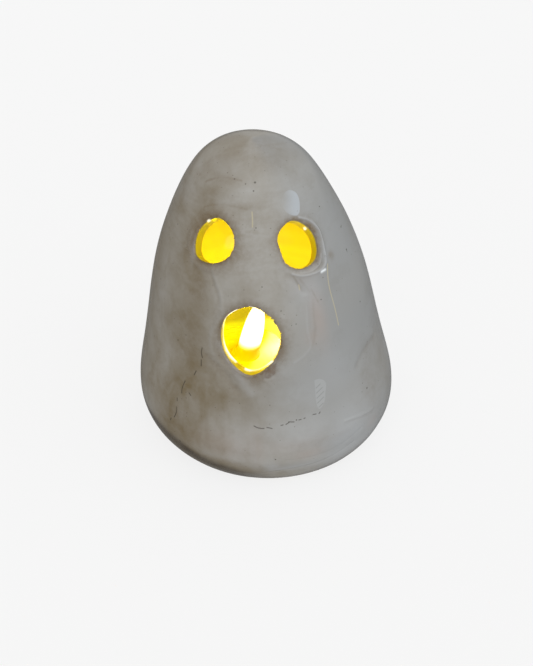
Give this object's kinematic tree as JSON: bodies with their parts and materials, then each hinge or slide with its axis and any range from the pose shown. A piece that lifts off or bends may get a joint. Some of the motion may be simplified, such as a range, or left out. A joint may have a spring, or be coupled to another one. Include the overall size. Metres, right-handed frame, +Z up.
{
  "type": "led ghost light",
  "caption": "Hollow glazed ceramic ghost with cut-out eyes and mouth, standing over a battery tea light with a hinged battery door and a slide switch.",
  "frame": {"origin": "on the table, under the middle of the ghost's bounding box", "axes": "+Z up, the face looks along -Y, +X is to the right of someone who looks at the face"},
  "size_m": [0.1121, 0.1119, 0.134],
  "materials": {
    "glazed_clay": "gloss",
    "white_plastic": "satin",
    "flame_plastic": "satin",
    "led_epoxy": "gloss",
    "contact_metal": "satin",
    "battery_steel": "satin",
    "black_plastic": "satin",
    "seal_rubber": "matte"
  },
  "bodies": {
    "tealight": {"candle_housing": "white_plastic", "flame_lens": "flame_plastic", "led_body": "led_epoxy", "led_anode_lead": "contact_metal", "led_cathode_lead": "contact_metal", "base_plate": "white_plastic", "positive_contact": "contact_metal", "negative_contact": "contact_metal", "battery_can": "battery_steel", "battery_seal": "seal_rubber", "battery_cap": "battery_steel"},
    "ghost": {"ghost_shell": "glazed_clay"},
    "battery_door": {"battery_door": "white_plastic"},
    "door_screw": {"door_screw": "contact_metal"},
    "switch": {"switch_slider": "black_plastic", "switch_bridge": "contact_metal"}
  },
  "joints": [
    {"name": "ghost_lift", "type": "slide", "parent": "tealight", "child": "ghost", "axis": [0, 0, 1], "range_m": [0, 0.05]},
    {"name": "battery_door_hinge", "type": "hinge", "parent": "tealight", "child": "battery_door", "pos_m": [-0.0221, 0.0092, 0.0019], "axis": [0, 1, 0], "range_deg": [0, 100]},
    {"name": "door_screw_turn", "type": "hinge", "parent": "battery_door", "child": "door_screw", "pos_m": [0.0029, 0.0092, 0.0009], "axis": [0, 0, 1], "continuous": true},
    {"name": "switch_slide", "type": "slide", "parent": "tealight", "child": "switch", "axis": [1, 0, 0], "range_m": [-0.003, 0]}
  ]
}
